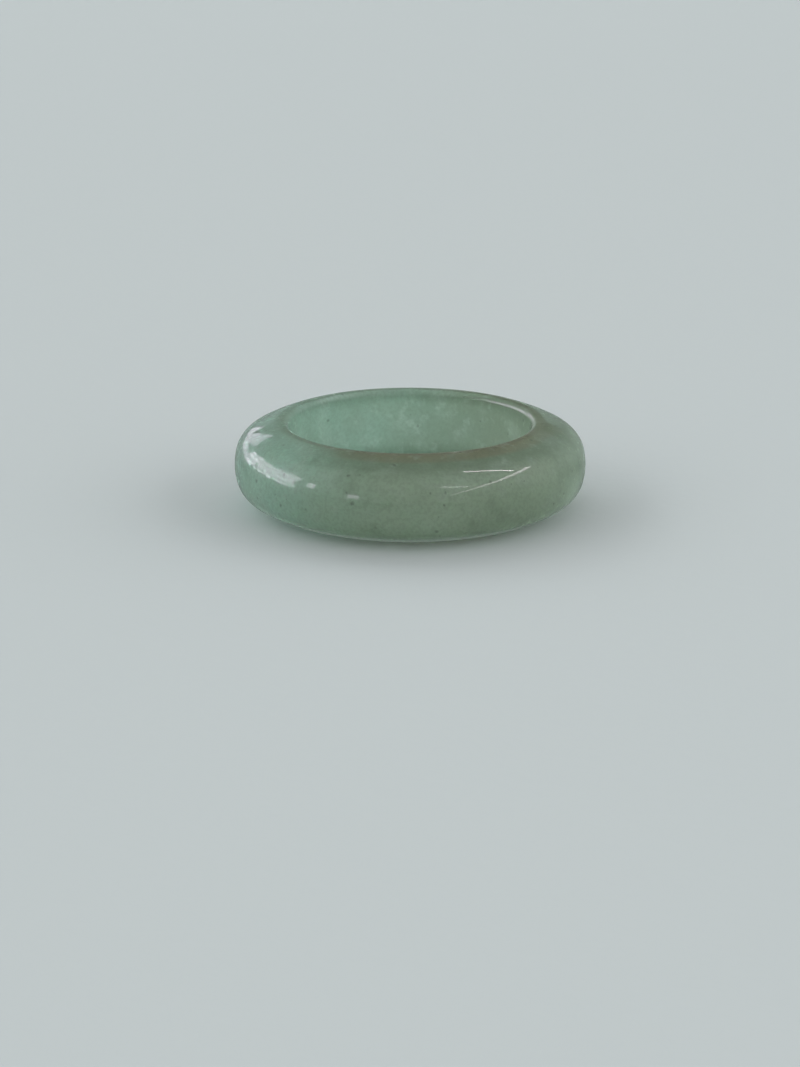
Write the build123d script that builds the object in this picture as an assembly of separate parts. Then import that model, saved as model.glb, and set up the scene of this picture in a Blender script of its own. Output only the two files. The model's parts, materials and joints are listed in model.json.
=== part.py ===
"""A stackable band ring, ground from one piece of stone, lying on its side.

Its section is a D: a straight bore with rounded mouths, a narrow flat land on each rim
for the next ring to rest on, and an outer wall that swells from both lands to a belly.
The wall is a chain of tangent arcs, the same above and below the middle of the band.

Frame: millimetres, +Z along the bore's axis, the origin at the centre of the lower rim.
"""

from build123d import *
from math import cos, radians, sin
import os

BORE_DIAMETER = 17.3  # inside size of a ring for an average finger
OUTER_DIAMETER = 25.0  # across the belly
MOUTH_RADIUS = 0.4  # rounding where the bore meets each rim

# The outer wall, from the belly up to the rim: each arc's radius, and the angle above the
# horizontal of the outward normal where the arc ends.
BELLY_RADIUS = 4.25
BELLY_END = 14.5
WALL_ARCS = (
    # name, radius, end angle
    ("shoulder", 2.0, 62.0),
    ("rim face", 9.7, 73.0),
    ("land edge", 1.0, 90.0),
)

BORE_RADIUS = BORE_DIAMETER / 2
OUTER_RADIUS = OUTER_DIAMETER / 2


def along(centre, angle, distance):
    """The point at a distance from a centre, at an angle in degrees, in the section's plane."""
    turn = radians(angle)
    return (centre[0] + distance * cos(turn), centre[1] + distance * sin(turn))


def outer_wall():
    """The upper wall's arcs above the belly, the belly's arc, and where the last arc ends."""
    centre = (OUTER_RADIUS - BELLY_RADIUS, 0.0)
    radius, angle = BELLY_RADIUS, BELLY_END
    belly = CenterArc(centre, radius, -BELLY_END, 2 * BELLY_END)
    arcs = []
    for _name, next_radius, end_angle in WALL_ARCS:
        centre = along(centre, angle, radius - next_radius)
        arcs.append(CenterArc(centre, next_radius, angle, end_angle - angle))
        radius, angle = next_radius, end_angle
    return arcs, belly, along(centre, angle, radius)


def ring_section():
    """The closed D section, distance from the bore's axis by height from the band's middle."""
    arcs, belly, land_end = outer_wall()
    half_width = land_end[1]
    mouth_centre = (BORE_RADIUS + MOUTH_RADIUS, half_width - MOUTH_RADIUS)
    mouth = CenterArc(mouth_centre, MOUTH_RADIUS, 90, 90)
    land = Line(land_end, (mouth_centre[0], half_width))
    upper = [*arcs, land, mouth]
    lower = [mirror(edge, about=Plane.XZ) for edge in upper]
    bore = Line((BORE_RADIUS, mouth_centre[1]), (BORE_RADIUS, -mouth_centre[1]))
    outline = Curve() + [belly, *upper, bore, *lower]
    return make_face(outline), land_end


def ring_band():
    """The whole ring, with its lower rim on the plane at zero height."""
    section, land_end = ring_section()
    band = revolve(Plane.XZ * section, axis=Axis.Z, revolution_arc=360)
    return Pos(0, 0, land_end[1]) * band, land_end


band, land_end = ring_band()
os.makedirs("parts", exist_ok=True)
export_step(band, "parts/ring_band.step")

land_width = land_end[0] - BORE_RADIUS - MOUTH_RADIUS
print(f"band width {2 * land_end[1]:.3f} mm, wall {OUTER_RADIUS - BORE_RADIUS:.3f} mm")
print(f"land {land_width:.3f} mm wide, bore wall {2 * (land_end[1] - MOUTH_RADIUS):.3f} mm long")
print(f"volume {band.volume:.1f} mm3, valid {band.is_valid}")
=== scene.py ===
"""Looks of a stackable stone ring: the polished green stone, the table it lies on and its light.

Everything is in metres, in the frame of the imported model: +Z runs along the bore, and the
ring lies on the plane at zero height, with the camera in front of it on the -Y side.
"""

import json
import logging
import math
from dataclasses import dataclass, field
from enum import Enum
from typing import Any, ClassVar, Sequence, Union

import bpy
from mathutils import Matrix, Vector


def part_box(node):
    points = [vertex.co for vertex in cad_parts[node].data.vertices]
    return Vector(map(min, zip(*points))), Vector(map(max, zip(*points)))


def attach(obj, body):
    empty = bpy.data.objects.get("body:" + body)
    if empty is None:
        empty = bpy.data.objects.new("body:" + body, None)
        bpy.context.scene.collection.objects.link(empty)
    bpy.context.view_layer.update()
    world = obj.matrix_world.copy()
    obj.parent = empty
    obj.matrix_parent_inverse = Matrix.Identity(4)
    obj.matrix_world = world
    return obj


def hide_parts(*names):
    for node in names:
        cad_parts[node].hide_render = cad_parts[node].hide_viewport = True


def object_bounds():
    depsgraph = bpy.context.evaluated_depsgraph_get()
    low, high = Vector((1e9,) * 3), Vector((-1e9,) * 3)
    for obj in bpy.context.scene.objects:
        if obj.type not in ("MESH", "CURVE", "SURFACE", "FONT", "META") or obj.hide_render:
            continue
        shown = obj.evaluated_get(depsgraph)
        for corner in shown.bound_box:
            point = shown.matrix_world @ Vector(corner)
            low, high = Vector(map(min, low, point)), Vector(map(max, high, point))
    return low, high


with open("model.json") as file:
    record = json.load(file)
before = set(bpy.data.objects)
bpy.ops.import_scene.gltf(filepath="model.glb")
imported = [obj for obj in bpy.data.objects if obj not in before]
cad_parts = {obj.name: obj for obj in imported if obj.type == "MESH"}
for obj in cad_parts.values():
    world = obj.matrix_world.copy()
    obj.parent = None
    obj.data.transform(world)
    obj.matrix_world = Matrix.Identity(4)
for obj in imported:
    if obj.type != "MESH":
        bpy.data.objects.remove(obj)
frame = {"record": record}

CAD_LOW, CAD_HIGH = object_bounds()
MM = 0.001
MERGE_DISTANCE = 0.001 * MM
BLACK = (0.0, 0.0, 0.0)

log = logging.getLogger("stackable_ring")

Colour = tuple[float, float, float]
Place = tuple[float, float, float]
Span = tuple[float, float]


def srgb(red: int, green: int, blue: int) -> Colour:
    """Turns a colour as a screen shows it into the linear colour that a shader takes.

    Args:
        red: red, from 0 to 255.
        green: green, from 0 to 255.
        blue: blue, from 0 to 255.

    Returns:
        The linear red, green and blue, from 0 to 1.
    """

    def linear(level: int) -> float:
        """The linear share of one channel's level."""
        share = level / 255
        return share / 12.92 if share <= 0.04045 else ((share + 0.055) / 1.055) ** 2.4

    return linear(red), linear(green), linear(blue)


def toward(azimuth: float, elevation: float) -> Vector:
    """The unit vector that points from the ring in a direction.

    Args:
        azimuth: degrees from the camera's side of the ring, positive to the right.
        elevation: degrees above the table.

    Returns:
        The direction in the model's frame.
    """
    turn, rise = math.radians(azimuth), math.radians(elevation)
    return Vector(
        (math.sin(turn) * math.cos(rise), -math.cos(turn) * math.cos(rise), math.sin(rise))
    )


# ---------------------------------------------------------------------------------------
# Shader graphs
# ---------------------------------------------------------------------------------------


class Value:
    """A number that varies over a surface: a socket on which Python's arithmetic works."""

    def __init__(self, graph: "Graph", socket: bpy.types.NodeSocket) -> None:
        """Wraps a socket of a graph."""
        self.graph = graph
        self.socket = socket

    def _math(self, operation: str, *numbers: "Number") -> "Value":
        """Adds a Math node.

        Args:
            operation: the node's operation.
            numbers: its inputs, in order.

        Returns:
            The node's result.
        """
        inputs = dict(enumerate(numbers))
        node = self.graph.node("ShaderNodeMath", {"operation": operation}, inputs)
        return Value(self.graph, node.outputs[0])

    def __add__(self, other: "Number") -> "Value":
        """This plus another."""
        return self._math("ADD", self, other)

    def __radd__(self, other: "Number") -> "Value":
        """Another plus this."""
        return self._math("ADD", other, self)

    def __sub__(self, other: "Number") -> "Value":
        """This less another."""
        return self._math("SUBTRACT", self, other)

    def __rsub__(self, other: "Number") -> "Value":
        """Another less this."""
        return self._math("SUBTRACT", other, self)

    def __mul__(self, other: "Number") -> "Value":
        """This times another."""
        return self._math("MULTIPLY", self, other)

    def __rmul__(self, other: "Number") -> "Value":
        """Another times this."""
        return self._math("MULTIPLY", other, self)

    def __truediv__(self, other: "Number") -> "Value":
        """This over another."""
        return self._math("DIVIDE", self, other)

    def __neg__(self) -> "Value":
        """This with its sign turned."""
        return self._math("MULTIPLY", self, -1.0)

    def larger(self, other: "Number") -> "Value":
        """The larger of this and another."""
        return self._math("MAXIMUM", self, other)

    def power(self, exponent: "Number") -> "Value":
        """This raised to a power."""
        return self._math("POWER", self, exponent)

    def step(self, low: float, high: float) -> "Value":
        """Rises smoothly from 0 to 1.

        Args:
            low: where the rise starts.
            high: where it ends; if it is the smaller, the result falls from 1 to 0.

        Returns:
            The result, held at 0 and 1 outside that stretch.
        """
        node = self.graph.node(
            "ShaderNodeMapRange",
            {"interpolation_type": "SMOOTHSTEP", "clamp": True},
            {"Value": self, "From Min": low, "From Max": high},
        )
        return Value(self.graph, node.outputs["Result"])


COLOUR_A, COLOUR_B, COLOUR_RESULT = 6, 7, 2  # a Mix node's colour sockets, by number

Number = Union[Value, float, int]
Input = Union[Value, bpy.types.NodeSocket, float, int, Sequence[float]]


class Graph:
    """The node tree of one material or world."""

    def __init__(self, tree: bpy.types.NodeTree) -> None:
        """Takes a tree over and empties it."""
        self.tree = tree
        self.tree.nodes.clear()

    def node(
        self,
        kind: str,
        settings: dict[str, Any] | None = None,
        inputs: dict[Union[str, int], Input] | None = None,
    ) -> bpy.types.Node:
        """Adds a node, sets it up and connects it.

        Args:
            kind: the node's type.
            settings: its properties, set first.
            inputs: a value or a link for each socket, by name or number.

        Returns:
            The new node.
        """
        made = self.tree.nodes.new(kind)
        for name, value in (settings or {}).items():
            setattr(made, name, value)
        for key, value in (inputs or {}).items():
            socket = made.inputs[key]
            if isinstance(value, Value):
                self.tree.links.new(value.socket, socket)
            elif isinstance(value, bpy.types.NodeSocket):
                self.tree.links.new(value, socket)
            elif socket.type == "RGBA":
                socket.default_value = (*value[:3], 1.0)
            else:
                socket.default_value = value
        return made

    def value(self, node: bpy.types.Node, output: Union[str, int] = 0) -> Value:
        """A node's output, ready for arithmetic."""
        return Value(self, node.outputs[output])

    def noise(
        self,
        where: bpy.types.NodeSocket,
        size: float,
        detail: float = 2.0,
        roughness: float = 0.5,
    ) -> Value:
        """Cloudy noise.

        Args:
            where: the coordinates that it is read at.
            size: the width of its largest lumps, in metres.
            detail: how many finer layers it has.
            roughness: how strong the finer layers are.

        Returns:
            The noise, from 0 to 1 and mostly near 0.5.
        """
        inputs = {
            "Vector": where,
            "Scale": 1.0 / size,
            "Detail": detail,
            "Roughness": roughness,
        }
        return self.value(self.node("ShaderNodeTexNoise", None, inputs), "Fac")

    def wave(self, turn: Value) -> Value:
        """The sine of an angle in radians."""
        return self.value(self.node("ShaderNodeMath", {"operation": "SINE"}, {0: turn}))

    def mix(self, share: Number, first: Input, second: Input) -> bpy.types.NodeSocket:
        """Blends two colours.

        Args:
            share: how much of the second shows, from 0 to 1.
            first: the colour at 0.
            second: the colour at 1.

        Returns:
            The blended colour.
        """
        inputs = {"Factor": share, COLOUR_A: first, COLOUR_B: second}
        return self.node("ShaderNodeMix", {"data_type": "RGBA"}, inputs).outputs[COLOUR_RESULT]


# ---------------------------------------------------------------------------------------
# The stone
# ---------------------------------------------------------------------------------------


@dataclass(frozen=True)
class Grain:
    """One cloudy layer of the stone: where it lies and how much of it shows.

    Attributes:
        size: the width of its largest lumps, in metres.
        detail: how many finer layers it has.
        low: the noise at which it starts to show.
        high: the noise at which it shows in full.
        strength: how much of it shows there.
        roughness: how strong its finer layers are.
        offset: how far it is moved, in metres, so that two layers differ.
    """

    size: float
    detail: float
    low: float
    high: float
    strength: float
    roughness: float = 0.55
    offset: Place = (0.0, 0.0, 0.0)


@dataclass(frozen=True)
class GreenStone:
    """Polished, milky, translucent green stone with soft clouds, fine grain and dark flecks, and
    with light and shade painted into its colour.

    Attributes:
        warm: its darker olive colour near the warm heart, on the rims; partly its own zoning,
            partly painted shade.
        cool: its paler colour far from there, on the rims and in the bore; partly its own zoning,
            partly painted light.
        pale: the colour of its clouds and wisps.
        deep: the colour of its shade and powder.
        fleck: the colour of its flecks.
        rim: painted shade on the flat rims: a darker, browner colour that stands in for the dim
            room they mirror.
        rim_shade_share: how much of that painted shade shows.
        rim_shade_heart: where the painted shade is strongest.
        rim_shade_reach: how far from there the painted shade starts, and where it is complete.
        rim_shade_height: how far from the ring's middle the rims and their painted shade start,
            and where they are complete.
        warm_belly_light: painted light: the paler colour of the outer wall near the warm heart.
        cool_belly_light: painted light: the paler colour of the outer wall far from there.
        warm_bore_shade: painted shade: the bore's darker colour near the warm heart.
        painted_band_share: how much of those three painted bands shows.
        warm_light_edge: how far from the axis the warm belly's painted light starts, and where it
            is complete.
        cool_light_edge: the same for the cool belly's painted light.
        bore_shade_edge: the same for the bore's painted shade.
        warm_shaded_heart: where the stone is warmest and darkest, partly by painted shade.
        warm_shaded_reach: how far from there it starts to cool and pale.
        cool_lit_reach: how far from there it is cool, and paler by painted light.
        stray_size: the width of the lumps by which that border strays, in metres.
        stray_reach: how far it strays, in metres.
        clouds: broad pale clouds.
        wisps: small pale wisps.
        shade: broad dark clouds.
        powder: the fine dark grain.
        fleck_spacing: how far apart the flecks are, in metres.
        fleck_radius: how large the largest is, in metres.
        fleck_least: how large the smallest is, as a share of the largest.
        fleck_edge: where a fleck ends and where it is darkest, as shares of its radius.
        fleck_share: how much of a fleck's colour shows.
        ior: the stone's index of refraction.
        clearness: how much of the light passes into it.
        depth: how far red, green and blue light spreads in it, in depth scales.
        depth_scale: the unit of that, in metres.
        haze: how cloudy it is inside.
        haze_spread: how much that varies.
        haze_size: the width of the lumps in which it varies, in metres.
        polish: the roughness of its polish.
        specks: the fine pits that have no polish.
        pit_size: the width of the unevenness under the polish, in metres.
        pit_depth: its depth, in metres.
    """

    # Partly the stone's own colour zones, partly painted light: paler and cooler toward the left
    # and back, darker and warmer toward the front right.
    warm: Colour = srgb(151, 171, 144)
    cool: Colour = srgb(176, 210, 191)
    pale: Colour = srgb(224, 240, 226)
    deep: Colour = srgb(112, 126, 102)
    fleck: Colour = srgb(62, 70, 54)
    # Painted shade: the flat rims read darker and browner around a heart at the front, in place of
    # the dim room they mirror.
    rim: Colour = srgb(168, 156, 126)
    rim_shade_share: float = 0.75
    rim_shade_heart: Place = (3.0 * MM, -9.5 * MM, 6.0 * MM)
    rim_shade_reach: Span = (12.0 * MM, 4.0 * MM)
    rim_shade_height: Span = (2.7 * MM, 2.88 * MM)
    # Painted light and shade by distance from the axis: the outer wall paler, the bore darker.
    warm_belly_light: Colour = srgb(216, 235, 211)
    cool_belly_light: Colour = srgb(208, 254, 236)
    warm_bore_shade: Colour = srgb(141, 158, 135)
    painted_band_share: float = 0.85
    warm_light_edge: Span = (10.8 * MM, 12.2 * MM)
    cool_light_edge: Span = (8.8 * MM, 10.0 * MM)
    bore_shade_edge: Span = (9.1 * MM, 8.7 * MM)
    warm_shaded_heart: Place = (6.5 * MM, -3.5 * MM, 2.0 * MM)
    warm_shaded_reach: float = 10.5 * MM
    cool_lit_reach: float = 20.5 * MM
    stray_size: float = 4.0 * MM
    stray_reach: float = 6.0 * MM
    clouds: Grain = Grain(2.2 * MM, 5.0, 0.48, 0.72, 0.3, offset=(5 * MM, 2 * MM, -7 * MM))
    wisps: Grain = Grain(1.0 * MM, 4.0, 0.55, 0.75, 0.4, offset=(-6 * MM, 9 * MM, 3 * MM))
    shade: Grain = Grain(2.0 * MM, 5.0, 0.5, 0.75, 0.35, offset=(3 * MM, -8 * MM, 5 * MM))
    powder: Grain = Grain(0.24 * MM, 2.0, 0.4, 0.65, 0.22)
    fleck_spacing: float = 0.95 * MM
    fleck_radius: float = 0.17 * MM
    fleck_least: float = 0.3
    fleck_edge: Span = (1.0, 0.2)
    fleck_share: float = 0.6
    ior: float = 1.3
    clearness: float = 0.88
    depth: Colour = (5.0, 6.0, 5.0)
    depth_scale: float = 1.0 * MM
    haze: float = 0.5
    haze_spread: float = 0.04
    haze_size: float = 2.5 * MM
    polish: float = 0.02
    specks: Grain = Grain(0.45 * MM, 3.0, 0.6, 0.64, 0.8, roughness=0.6)
    pit_size: float = 0.3 * MM
    pit_depth: float = 0.0007 * MM

    def material(self) -> bpy.types.Material:
        """Makes the stone's material.

        Returns:
            The material, read at Object coordinates.
        """
        made = bpy.data.materials.new("green_stone")
        made.use_nodes = True
        graph = Graph(made.node_tree)
        where = graph.node("ShaderNodeTexCoord").outputs["Object"]
        inputs = {
            "Base Color": self._colour(graph, where),
            "Roughness": self._gloss(graph, where),
            "Normal": self._pits(graph, where),
            "IOR": self.ior,
            "Subsurface Weight": 1.0,
            "Subsurface Radius": self.depth,
            "Subsurface Scale": self.depth_scale,
            "Transmission Weight": self.clearness,
            "Coat Weight": 1.0 - self._layer(graph, where, self.specks),
            "Coat Roughness": self.polish,
        }
        shader = graph.node("ShaderNodeBsdfPrincipled", None, inputs)
        graph.node("ShaderNodeOutputMaterial", None, {"Surface": shader.outputs[0]})
        return made

    @staticmethod
    def _layer(graph: Graph, where: bpy.types.NodeSocket, grain: Grain) -> Value:
        """How much of a layer shows.

        Args:
            graph: the material's graph.
            where: the coordinates.
            grain: the layer.

        Returns:
            Its share, from 0 to its strength.
        """
        moved = graph.node(
            "ShaderNodeMapping", None, {"Vector": where, "Location": grain.offset}
        )
        lumps = graph.noise(moved.outputs[0], grain.size, grain.detail, grain.roughness)
        return lumps.step(grain.low, grain.high) * grain.strength

    def _colour(self, graph: Graph, where: bpy.types.NodeSocket) -> bpy.types.NodeSocket:
        """The stone's mottled colour, with painted light and shade in it.

        Args:
            graph: the material's graph.
            where: the coordinates.

        Returns:
            The colour.
        """
        # Painted shade darkens the bore, and painted light makes the outer wall paler.
        warm = graph.mix(self._painted_band(graph, where, self.bore_shade_edge), self.warm, self.warm_bore_shade)
        warm = graph.mix(self._painted_band(graph, where, self.warm_light_edge), warm, self.warm_belly_light)
        # Painted shade on the flat rims: darker and browner near the front.
        warm = graph.mix(self._rim_shade(graph, where), warm, self.rim)
        cool = graph.mix(self._painted_band(graph, where, self.cool_light_edge), self.cool, self.cool_belly_light)
        # Partly the stone's own colour zones, partly painted light: paler toward the left and
        # back.
        colour = graph.mix(self._cool_and_lit(graph, where), warm, cool)
        layers = (
            (self.shade, self.deep),
            (self.clouds, self.pale),
            (self.wisps, self.pale),
            (self.powder, self.deep),
        )
        for grain, tint in layers:
            colour = graph.mix(self._layer(graph, where, grain), colour, tint)
        return graph.mix(self._flecks(graph, where), colour, self.fleck)

    def _cool_and_lit(self, graph: Graph, where: bpy.types.NodeSocket) -> Value:
        """How far the stone has turned from its warm, darker green to its cool, paler one: partly
        its own colour zones, partly painted light toward the left and back.

        Args:
            graph: the material's graph.
            where: the coordinates.

        Returns:
            The share of the cool green.
        """
        stray = (graph.noise(where, self.stray_size) - 0.5) * self.stray_reach
        away = self._away(graph, where, self.warm_shaded_heart) + stray
        return away.step(self.warm_shaded_reach, self.cool_lit_reach)

    @staticmethod
    def _away(graph: Graph, where: bpy.types.NodeSocket, heart: Place) -> Value:
        """How far a point of the stone is from a place, in metres."""
        inputs = {0: where, 1: heart}
        return graph.value(
            graph.node("ShaderNodeVectorMath", {"operation": "DISTANCE"}, inputs), "Value"
        )

    def _painted_band(self, graph: Graph, where: bpy.types.NodeSocket, edge: Span) -> Value:
        """How much of a painted band shows, by how far the point is from the bore's axis: painted
        light on the outer wall, painted shade in the bore.

        Args:
            graph: the material's graph.
            where: the coordinates.
            edge: how far from the axis the painted band starts, and where it is complete.

        Returns:
            The share of the tint's colour.
        """
        parts = graph.node("ShaderNodeSeparateXYZ", None, {0: where})
        x, y = graph.value(parts, "X"), graph.value(parts, "Y")
        from_axis = (x * x + y * y).power(0.5)
        return from_axis.step(*edge) * self.painted_band_share

    def _rim_shade(self, graph: Graph, where: bpy.types.NodeSocket) -> Value:
        """How much painted shade, darker and browner, lies on the nearly flat rims in the stone's
        warm part.

        Args:
            graph: the material's graph.
            where: the coordinates.

        Returns:
            The share of the painted shade's colour.
        """
        parts = graph.node("ShaderNodeSeparateXYZ", None, {0: where})
        above = graph.value(parts, "Z") - (CAD_LOW.z + CAD_HIGH.z) / 2
        near = self._away(graph, where, self.rim_shade_heart).step(*self.rim_shade_reach)
        return above.larger(-above).step(*self.rim_shade_height) * near * self.rim_shade_share

    def _flecks(self, graph: Graph, where: bpy.types.NodeSocket) -> Value:
        """Where the small dark inclusions are.

        Args:
            graph: the material's graph.
            where: the coordinates.

        Returns:
            The share of their colour: full inside a fleck and 0 outside.
        """
        bent = graph.node(
            "ShaderNodeTexNoise", None, {"Vector": where, "Scale": 1.0 / self.fleck_radius}
        )
        about = graph.node(
            "ShaderNodeVectorMath",
            {"operation": "MULTIPLY_ADD"},
            {0: bent.outputs["Color"], 1: (self.fleck_radius,) * 3, 2: where},
        )
        cells = graph.node(
            "ShaderNodeTexVoronoi",
            None,
            {"Vector": about.outputs[0], "Scale": 1.0 / self.fleck_spacing},
        )
        chance = graph.node("ShaderNodeSeparateColor", None, {"Color": cells.outputs["Color"]})
        reach = self.fleck_radius / self.fleck_spacing
        radius = graph.value(chance) * reach + reach * self.fleck_least
        near = graph.value(cells, "Distance") / radius
        return near.step(*self.fleck_edge) * self.fleck_share

    def _gloss(self, graph: Graph, where: bpy.types.NodeSocket) -> Value:
        """How cloudy the stone is inside, a little uneven."""
        lumps = graph.noise(where, self.haze_size, 3.0)
        return lumps * self.haze_spread + (self.haze - self.haze_spread / 2)

    def _pits(self, graph: Graph, where: bpy.types.NodeSocket) -> bpy.types.NodeSocket:
        """The fine unevenness under the polish.

        Args:
            graph: the material's graph.
            where: the coordinates.

        Returns:
            The bent normal.
        """
        height = graph.noise(where, self.pit_size)
        inputs = {"Strength": 1.0, "Distance": self.pit_depth, "Height": height}
        return graph.node("ShaderNodeBump", None, inputs).outputs[0]


@dataclass(frozen=True)
class Arc:
    """One arc of the ring's section.

    Attributes:
        radius: its radius, in metres.
        end: how far its outward normal has turned from level where it ends, in degrees.
        steps: how many edges it has.
    """

    radius: float
    end: float
    steps: int


@dataclass
class RingBand:
    """The ring: a domed band with a straight bore, narrow flat rims and rounded mouths.

    Attributes:
        node: the CAD node that it replaces.
        belly: the outer wall's arc at its widest, up from the middle.
        wall: the arcs from there up to the rim.
        mouth: the arc where the rim turns into the bore.
        land_steps: how many edges cross the flat land.
        bore_steps: how many edges go down the bore's upper half.
        turns: how many faces go round the ring.
        waviness: how deep the polish's unevenness goes, in metres.
        wave_size: how wide that unevenness is, in metres.
        finish: what it is made of.
    """

    node: str = "ring_band"
    belly: Arc = Arc(4.25 * MM, 14.5, 10)
    wall: tuple[Arc, ...] = (
        Arc(2.0 * MM, 62.0, 26),
        Arc(9.7 * MM, 73.0, 12),
        Arc(1.0 * MM, 90.0, 8),
    )
    mouth: Arc = Arc(0.4 * MM, 180.0, 14)
    land_steps: int = 3
    bore_steps: int = 12
    turns: int = 384
    waviness: float = 0.012 * MM
    wave_size: float = 4.0 * MM
    finish: GreenStone = field(default_factory=GreenStone)

    def __post_init__(self) -> None:
        """Reads the ring's outer size and bore from the frame."""
        low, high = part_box(self.node)
        self.outer_radius = (high.x - low.x) / 2
        self.half_width = (high.z - low.z) / 2
        bores = [m for m in frame["record"]["mounts"] if m["kind"] == "bore"]
        self.bore_radius = bores[0]["dims"]["r_mm"] * MM

    def build(self) -> bpy.types.Object:
        """Models the ring, dresses it and puts it in the CAD band's place.

        Returns:
            The finished ring.
        """
        ring = self._model()
        self._wave(ring)
        ring.data.materials.clear()
        ring.data.materials.append(self.finish.material())
        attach(ring, "root")
        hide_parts(self.node)
        log.info("%s: %d faces", ring.name, len(ring.data.polygons))
        return ring

    def _model(self) -> bpy.types.Object:
        """Spins the section round the bore's axis and mirrors it below the middle.

        Returns:
            The bare ring, lying on the table.
        """
        bpy.ops.object.select_all(action="DESELECT")
        bpy.ops.mesh.primitive_plane_add(size=MM, location=(self.outer_radius, 0, 0))
        ring = bpy.context.object
        ring.name = ring.data.name = "stone_ring"
        bpy.ops.object.transform_apply(location=True, rotation=False, scale=False)
        bpy.ops.object.mode_set(mode="EDIT")
        bpy.ops.mesh.merge(type="CENTER")
        self._draw_upper_section()
        bpy.ops.mesh.select_all(action="SELECT")
        bpy.ops.mesh.spin(
            steps=self.turns, angle=math.tau, center=(0, 0, 0), axis=(0, 0, 1)
        )
        bpy.ops.mesh.select_all(action="SELECT")
        bpy.ops.mesh.remove_doubles(threshold=MERGE_DISTANCE)
        bpy.ops.object.mode_set(mode="OBJECT")
        mirror = ring.modifiers.new("lower half", "MIRROR")
        mirror.use_axis = (False, False, True)
        mirror.merge_threshold = MERGE_DISTANCE
        bpy.ops.object.modifier_apply(modifier=mirror.name)
        bpy.ops.object.mode_set(mode="EDIT")
        bpy.ops.mesh.select_all(action="SELECT")
        bpy.ops.transform.translate(value=(0, 0, self.half_width))
        bpy.ops.mesh.normals_make_consistent(inside=False)
        bpy.ops.object.mode_set(mode="OBJECT")
        bpy.ops.object.shade_smooth()
        return ring

    def _draw_upper_section(self) -> None:
        """Draws the section's upper half from the belly's outermost point, in edit mode."""
        centre = Vector((self.outer_radius - self.belly.radius, 0))
        radius, turned = self.belly.radius, 0.0
        for arc in (self.belly, *self.wall):
            centre += (radius - arc.radius) * self._outward(turned)
            self._spin(centre, turned, arc)
            radius, turned = arc.radius, arc.end
        land_end = centre + radius * self._outward(turned)
        mouth_centre = Vector(
            (self.bore_radius + self.mouth.radius, land_end.y - self.mouth.radius)
        )
        self._run(Vector((mouth_centre.x - land_end.x, 0)), self.land_steps)
        self._spin(mouth_centre, turned, self.mouth)
        self._run(Vector((0, -mouth_centre.y)), self.bore_steps)

    @staticmethod
    def _outward(turned: float) -> Vector:
        """The section's outward normal when it has turned by an angle in degrees from level."""
        return Vector((math.cos(math.radians(turned)), math.sin(math.radians(turned))))

    @staticmethod
    def _spin(centre: Vector, start: float, arc: Arc) -> None:
        """Carries the selected point on along an arc.

        Args:
            centre: the arc's centre in the section: distance from the axis, and height.
            start: where the normal's turn stands when the arc begins, in degrees.
            arc: the arc.
        """
        bpy.ops.mesh.spin(
            steps=arc.steps,
            angle=math.radians(arc.end - start),
            center=(centre.x, 0, centre.y),
            axis=(0, 1, 0),
        )

    @staticmethod
    def _run(way: Vector, steps: int) -> None:
        """Carries the selected point on in a straight line.

        Args:
            way: how far it goes, away from the axis and up.
            steps: how many edges that takes.
        """
        for _ in range(steps):
            bpy.ops.mesh.extrude_region_move(
                TRANSFORM_OT_translate={"value": (way.x / steps, 0, way.y / steps)}
            )

    def _wave(self, ring: bpy.types.Object) -> None:
        """Gives the surface the slight unevenness of hand polishing, never past its true size.

        Args:
            ring: the ring.
        """
        lumps = bpy.data.textures.new("hand_polish", "CLOUDS")
        lumps.noise_scale = self.wave_size
        lumps.noise_depth = 1
        wave = ring.modifiers.new("hand polish", "DISPLACE")
        wave.texture = lumps
        wave.texture_coords = "LOCAL"
        wave.strength = self.waviness
        wave.mid_level = 1.0
        bpy.ops.object.modifier_apply(modifier=wave.name)


# ---------------------------------------------------------------------------------------
# The studio
# ---------------------------------------------------------------------------------------


class Tone(Enum):
    """The colours of light in the studio."""

    DAY = (0.92, 1.0, 1.0)
    ROOM = (1.0, 1.0, 0.985)
    LAMP = (1.0, 0.84, 0.94)
    MIRRORED = (0.8, 1.0, 0.9)
    PANE = (0.98, 0.9, 1.03)
    WARM = (1.0, 0.62, 0.5)


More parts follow.
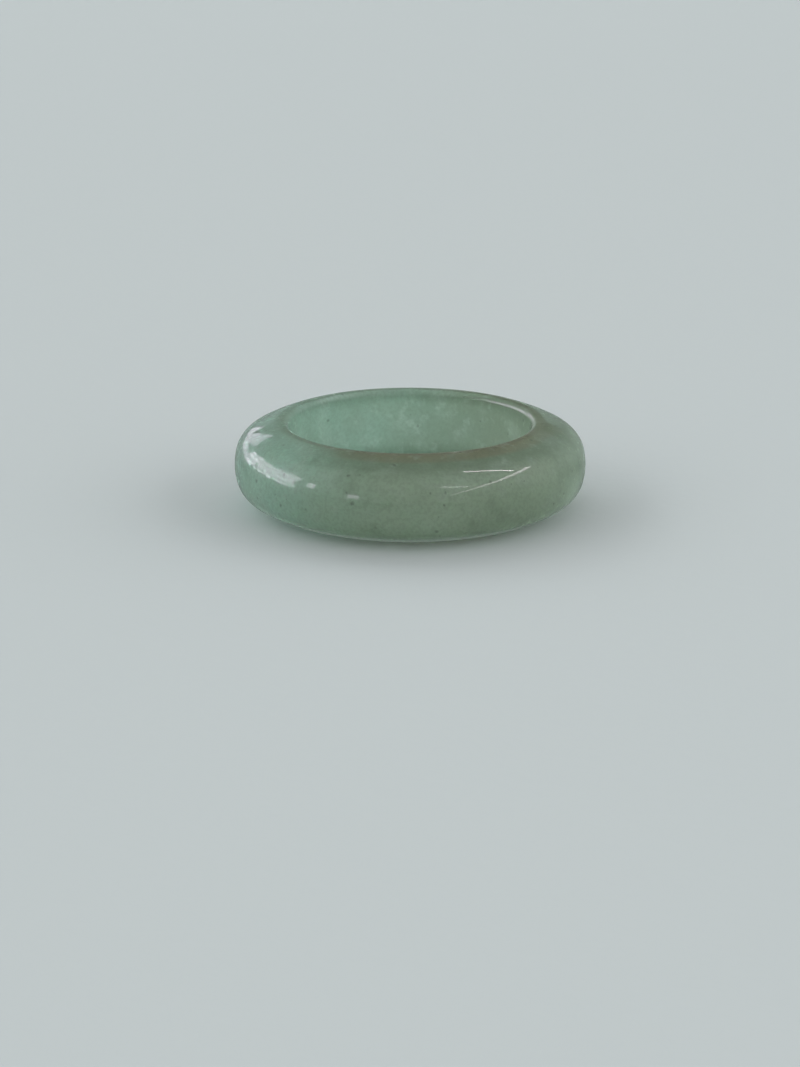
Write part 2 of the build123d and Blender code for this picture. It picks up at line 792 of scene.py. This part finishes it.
@dataclass(frozen=True)
class Window:
    """An upright pane that the ring mirrors: a window behind slats, or a plain screen.

    Attributes:
        name: what it is.
        azimuth: its middle's direction, degrees to the right of the camera's side.
        elevation: its middle's height, degrees above the table.
        distance: how far its middle is from the ring, in metres.
        width: its width, in metres.
        height: its height, in metres.
        radiance: how bright its open part looks, where 1 is white.
        slats: how many slats cross it.
        closed: how bright its closed parts are, as a share of the open ones.
        ragged: how uneven its outline is; above 0 it has holes too.
        facing: which way it faces, in degrees as azimuth; by default it faces the ring.
        tone: the colour of its light.
    """

    name: str
    azimuth: float
    elevation: float
    distance: float
    width: float
    height: float
    radiance: float
    slats: float = 0.0
    closed: float = 1.0
    ragged: float = 0.5
    facing: float | None = None
    tone: Tone = Tone.PANE

    BLOTS: ClassVar[tuple[float, float, float]] = (0.2, 6.0, 0.65)  # noise size, detail, roughness
    SLAT_SHARE: ClassVar[float] = 0.06  # how far a slat moves the noise
    OPEN: ClassVar[Span] = (0.46, 0.52)  # the noise at which the pane starts to open, and is open
    WHOLE: ClassVar[Span] = (0.35, 0.38)  # the noise at which a hole ends
    FULL: ClassVar[float] = 0.62  # the noise at which a ragged outline reaches the pane's edge
    EDGE: ClassVar[float] = 0.02  # how gently the outline ends

    def build(self) -> bpy.types.Object:
        """Adds the pane.

        Returns:
            The pane's object.
        """
        facing = self.azimuth if self.facing is None else self.facing
        bpy.ops.object.select_all(action="DESELECT")
        bpy.ops.mesh.primitive_plane_add(
            size=1,
            location=toward(self.azimuth, self.elevation) * self.distance,
            rotation=(math.pi / 2, 0, math.radians(facing)),
        )
        pane = bpy.context.object
        pane.name = self.name
        pane.scale = (self.width, self.height, 1)
        pane.visible_camera = False
        pane.visible_diffuse = False
        pane.visible_transmission = False
        pane.data.materials.append(self._material())
        return pane

    def _material(self) -> bpy.types.Material:
        """The pane's light, with its slats.

        Returns:
            The material.
        """
        made = bpy.data.materials.new(self.name + "_light")
        made.use_nodes = True
        graph = Graph(made.node_tree)
        where = graph.node("ShaderNodeTexCoord").outputs["Object"]
        parts = graph.node("ShaderNodeSeparateXYZ", None, {0: where})
        x, y = graph.value(parts, "X"), graph.value(parts, "Y")
        blot = graph.noise(where, *self.BLOTS)
        slat = graph.wave(y * (math.tau * self.slats))
        open_share = (blot + slat * self.SLAT_SHARE).step(*self.OPEN)
        inside = (0.5 - (x * x).larger(y * y) * 2.0) + (blot - self.FULL) * self.ragged
        shape = inside.step(-self.EDGE, self.EDGE)
        if self.ragged:
            shape = shape * blot.step(*self.WHOLE)
        share = shape * (open_share * (1.0 - self.closed) + self.closed)
        colour = graph.mix(share, BLACK, self.tone.value)
        light = graph.node(
            "ShaderNodeEmission", None, {"Color": colour, "Strength": self.radiance}
        )
        graph.node("ShaderNodeOutputMaterial", None, {"Surface": light.outputs[0]})
        return made


@dataclass(frozen=True)
class TubeLamp:
    """A long thin lamp on the ceiling.

    Attributes:
        name: what it is.
        start: one end's place, in ceiling heights to the right of and behind the ring.
        end: the other end's place.
        thickness: how thick it is, in metres.
        radiance: how bright it looks, where 1 is white.
        ceiling: how high the ceiling is, in metres.
    """

    name: str
    start: Span
    end: Span
    thickness: float
    radiance: float
    ceiling: float = 0.8

    def build(self) -> bpy.types.Object:
        """Adds the lamp.

        Returns:
            The lamp's object.
        """
        first, last = (Vector((*place, 1.0)) * self.ceiling for place in (self.start, self.end))
        middle = (first + last) / 2
        along = (last - first).normalized()
        back = middle.normalized()
        across = back.cross(along).normalized()
        turn = Matrix((along, across, along.cross(across))).transposed()
        bpy.ops.object.light_add(type="AREA", location=middle, rotation=turn.to_euler())
        lamp = bpy.context.object
        lamp.name = self.name
        lamp.visible_camera = False
        lamp.data.shape = "RECTANGLE"
        lamp.data.size = (last - first).length
        lamp.data.size_y = self.thickness
        lamp.data.color = Tone.LAMP.value
        lamp.visible_diffuse = False
        lamp.visible_transmission = False
        lamp.data.energy = self.radiance * math.pi * lamp.data.size * self.thickness
        return lamp


@dataclass(frozen=True)
class SoftLamp:
    """A large soft lamp that faces the ring and leaves no reflection on it.

    Attributes:
        name: what it is.
        azimuth: its direction, degrees to the right of the camera's side.
        elevation: its height, degrees above the table.
        distance: how far it is from the ring, in metres.
        size: its width and height, in metres.
        radiance: how bright it is, where 1 is white.
    """

    name: str
    azimuth: float
    elevation: float
    distance: float
    size: Span
    radiance: float

    def build(self) -> bpy.types.Object:
        """Adds the lamp.

        Returns:
            The lamp's object.
        """
        way = toward(self.azimuth, self.elevation)
        bpy.ops.object.select_all(action="DESELECT")
        bpy.ops.object.light_add(
            type="AREA",
            location=way * self.distance,
            rotation=way.to_track_quat("Z", "Y").to_euler(),
        )
        lamp = bpy.context.object
        lamp.name = self.name
        lamp.visible_camera = False
        lamp.visible_glossy = False
        lamp.visible_transmission = False
        lamp.data.shape = "RECTANGLE"
        lamp.data.size, lamp.data.size_y = self.size
        lamp.data.color = Tone.DAY.value
        lamp.data.energy = self.radiance * math.pi * math.prod(self.size)
        return lamp


@dataclass(frozen=True)
class Levels:
    """How bright each side of the room is, where 1 is white.

    Attributes:
        ceiling: the ceiling.
        right: the right wall.
        left: the left wall.
        back: the wall behind the ring.
        front: the wall behind the camera.
        low: a level strip all round.
        low_bottom: where the strip starts, as the sine of its elevation.
        low_top: where it ends.
        below: everything under the strip.
        beyond: the lowest part of what lies behind the ring.
    """

    ceiling: float
    right: float
    left: float
    back: float
    front: float
    low: float
    low_bottom: float = -2.0
    low_top: float = 0.1
    below: float = 0.0
    beyond: float = 0.0


@dataclass(frozen=True)
class Room:
    """The soft light all round: a box of a room seen from the ring, with a ceiling one unit up.

    Attributes:
        right: how far the right wall is, in ceiling heights.
        left: how far the left wall is.
        back: how far the wall behind the ring is.
        front: how far the wall behind the camera is.
        beyond_bottom: where the low part behind the ring starts, as the sine of its elevation.
        beyond_top: where it ends.
        beyond_from: where that part starts, as the direction's share away from the camera.
        soft: how gently one surface passes into the next.
        mirrored: how bright it looks in the polish.
        glow: how bright its soft light is.
        backdrop: what the camera sees past the floor.
    """

    right: float = 1.05
    left: float = 1.0
    back: float = 0.52
    front: float = 1.6
    beyond_bottom: float = -0.27
    beyond_top: float = 0.2
    beyond_from: float = 0.8
    soft: float = 0.03
    mirrored: Levels = Levels(0.43, 0.12, 0.3, 0.3, 0.3, 0.02, -0.19, -0.05, 0.27, 0.3)
    glow: Levels = Levels(0.28, 2.1, 2.0, 1.25, 0.35, 1.2, beyond=1.1)
    backdrop: Colour = srgb(186, 195, 196)

    def build(self) -> None:
        """Makes the world that lights the scene."""
        world = bpy.data.worlds.new("studio_room")
        bpy.context.scene.world = world
        world.use_nodes = True
        graph = Graph(world.node_tree)
        way = graph.node("ShaderNodeTexCoord").outputs["Generated"]
        parts = graph.node("ShaderNodeSeparateXYZ", None, {0: way})
        across, along, up = (graph.value(parts, axis) for axis in "XYZ")
        path = graph.node("ShaderNodeLightPath")
        mirrored = graph.value(path, "Is Glossy Ray")
        room = self._light(across, along, up, self.mirrored)
        glow = self._light(across, along, up, self.glow)
        tone = graph.mix(mirrored, Tone.ROOM.value, Tone.MIRRORED.value)
        light = graph.node(
            "ShaderNodeBackground",
            None,
            {"Color": tone, "Strength": glow + mirrored * (room - glow)},
        )
        pale = graph.node("ShaderNodeBackground", None, {"Color": self.backdrop})
        shown = graph.node(
            "ShaderNodeMixShader",
            None,
            {0: graph.value(path, "Is Camera Ray"), 1: light.outputs[0], 2: pale.outputs[0]},
        )
        graph.node("ShaderNodeOutputWorld", None, {"Surface": shown.outputs[0]})
        log.info("studio room")

    def _light(self, across: Value, along: Value, up: Value, levels: Levels) -> Value:
        """How bright the room is in a direction.

        Args:
            across: the direction's share to the right.
            along: its share away from the camera.
            up: its share upward.
            levels: how bright the room's sides are.

        Returns:
            The brightness.
        """
        side = (across / self.right).larger(-across / self.left)
        end = (along / self.back).larger(-along / self.front)
        side_wall = self._blend(across, levels.left, levels.right)
        end_wall = self._blend(along, levels.front, levels.back)
        wall = self._blend(end - side, side_wall, end_wall)
        light = self._blend(side.larger(end) - up, levels.ceiling, wall)
        light = self._blend(levels.low_top - up, light, levels.low)
        light = self._blend(levels.low_bottom - up, light, levels.below)
        edge = (up - self.beyond_top).larger(self.beyond_bottom - up)
        behind = self._blend(edge, levels.beyond, light)
        return self._blend(along - self.beyond_from, light, behind)

    def _blend(self, edge: Value, before: Number, after: Number) -> Value:
        """Passes from one brightness to another.

        Args:
            edge: what is below 0 before the edge and above 0 after it.
            before: the brightness before the edge.
            after: the brightness after it.

        Returns:
            The brightness.
        """
        share = edge.step(-self.soft, self.soft)
        return before + share * (after - before)


@dataclass(frozen=True)
class Table:
    """The plain pale table top.

    Attributes:
        colour: its colour.
        roughness: how matt it is.
        reach: how far it goes each way, in metres.
        grain_size: the width of its fine grain, in metres.
        grain_depth: the depth of that grain, in metres.
    """

    colour: Colour = srgb(203, 211, 213)
    roughness: float = 0.6
    reach: float = 1.5
    grain_size: float = 1.1 * MM
    grain_depth: float = 0.02 * MM

    def build(self) -> bpy.types.Object:
        """Adds the table.

        Returns:
            The table's object.
        """
        bpy.ops.object.select_all(action="DESELECT")
        bpy.ops.mesh.primitive_plane_add(size=2 * self.reach, location=(0, 0, 0))
        table = bpy.context.object
        table.name = "table"
        table.visible_glossy = False
        table.data.materials.append(self._material())
        log.info("table")
        return table

    def _material(self) -> bpy.types.Material:
        """The table's matt finish, with no mirror in it.

        Returns:
            The material.
        """
        made = bpy.data.materials.new("pale_table")
        made.use_nodes = True
        graph = Graph(made.node_tree)
        where = graph.node("ShaderNodeTexCoord").outputs["Object"]
        bump = graph.node(
            "ShaderNodeBump",
            None,
            {"Distance": self.grain_depth, "Height": graph.noise(where, self.grain_size)},
        )
        shader = graph.node(
            "ShaderNodeBsdfPrincipled",
            None,
            {
                "Base Color": self.colour,
                "Roughness": self.roughness,
                "Specular IOR Level": 0.0,
                "Normal": bump.outputs[0],
            },
        )
        graph.node("ShaderNodeOutputMaterial", None, {"Surface": shader.outputs[0]})
        return made


@dataclass(frozen=True)
class Studio:
    """The table, the room's light and the lamps.

    Attributes:
        table: the table.
        room: the soft light all round.
        windows: the panes that the ring mirrors.
        key: the light from behind and to the left.
        fill: the light from the camera's side.
        lamps: the thin lamps that the ring mirrors.
    """

    table: Table = field(default_factory=Table)
    room: Room = field(default_factory=Room)
    windows: tuple[Window, ...] = (
        Window("window", -116, 16.4, 0.69, 0.9, 0.4, 3.9, 7.0, 0.5, 1.0, facing=-90),
        Window("near_window", -95, 15.8, 0.6, 0.36, 0.36, 4.8, 7.0, 0.55, 0.9, facing=-90),
        Window("far_window", -158.5, 14.5, 0.75, 0.19, 0.25, 1.7, 7.0, 0.6, 0.4),
        Window("slats", -145, 9, 0.72, 0.24, 0.14, 2.4, 9.0, 0.2, 0.7),
        Window("side_pane", -67, 15, 0.6, 0.065, 0.17, 4.5),
        Window("small_pane", -36, 5.5, 0.6, 0.075, 0.075, 3.2, ragged=0.0),
        Window("screen", 180, 38, 0.7, 0.36, 0.62, 0.08, ragged=0.0, tone=Tone.WARM),
    )
    key: SoftLamp = SoftLamp("daylight", -143, 24, 1.5, (1.4, 0.8), 1.5)
    fill: SoftLamp = SoftLamp("fill", 5, 6, 1.5, (2.4, 0.3), 1.3)
    lamps: tuple[TubeLamp, ...] = (
        TubeLamp("tube_lamp", (0.25, 0.34), (0.79, 0.21), 0.034, 11.0),
        TubeLamp("front_tube_lamp", (0.41, -0.98), (0.98, -1.1), 0.022, 14.0),
        TubeLamp("cove", (2.2, -4.3), (0.95, 0.45), 0.075, 4.5),
    )

    def build(self) -> None:
        """Sets the studio up."""
        self.table.build()
        self.room.build()
        for light in (self.key, self.fill, *self.windows, *self.lamps):
            light.build()
            log.info("light %s", light.name)


@dataclass(frozen=True)
class Viewpoint:
    """Where the camera stands and how it is aimed.

    Attributes:
        elevation: how far it looks down on the ring's middle, in degrees.
        distance: how far it is from the ring's middle, in metres.
        lens: its focal length, in millimetres.
        pan: how far it is aimed to the left of the ring, in degrees.
        dip: how far it is aimed below the ring, in degrees.
        sensor: its long side, in millimetres.
        nearest: the nearest that it sees, in metres.
        farthest: the farthest that it sees, in metres.
    """

    elevation: float = 15.52
    distance: float = 0.2
    lens: float = 94.55
    pan: float = 0.214
    dip: float = 1.467
    sensor: float = 36.0
    nearest: float = MM
    farthest: float = 10.0

    def build(self) -> bpy.types.Object:
        """Adds the camera and makes it the scene's.

        Returns:
            The camera's object.
        """
        middle = (CAD_LOW + CAD_HIGH) / 2
        place = middle + toward(0, self.elevation) * self.distance
        bpy.ops.object.camera_add(location=place)
        camera = bpy.context.object
        aim = -toward(self.pan, self.elevation + self.dip)
        camera.rotation_euler = aim.to_track_quat("-Z", "Y").to_euler()
        camera.data.lens = self.lens
        camera.data.sensor_width = self.sensor
        camera.data.clip_start = self.nearest
        camera.data.clip_end = self.farthest
        bpy.context.scene.camera = camera
        log.info("camera")
        return camera


def main() -> None:
    """Builds the ring, the studio and the camera."""
    logging.basicConfig(level=logging.INFO, format="%(name)s: %(message)s")
    bpy.context.scene.view_settings.view_transform = "Standard"
    Viewpoint().build()
    RingBand().build()
    Studio().build()


if __name__ == "__main__":
    main()
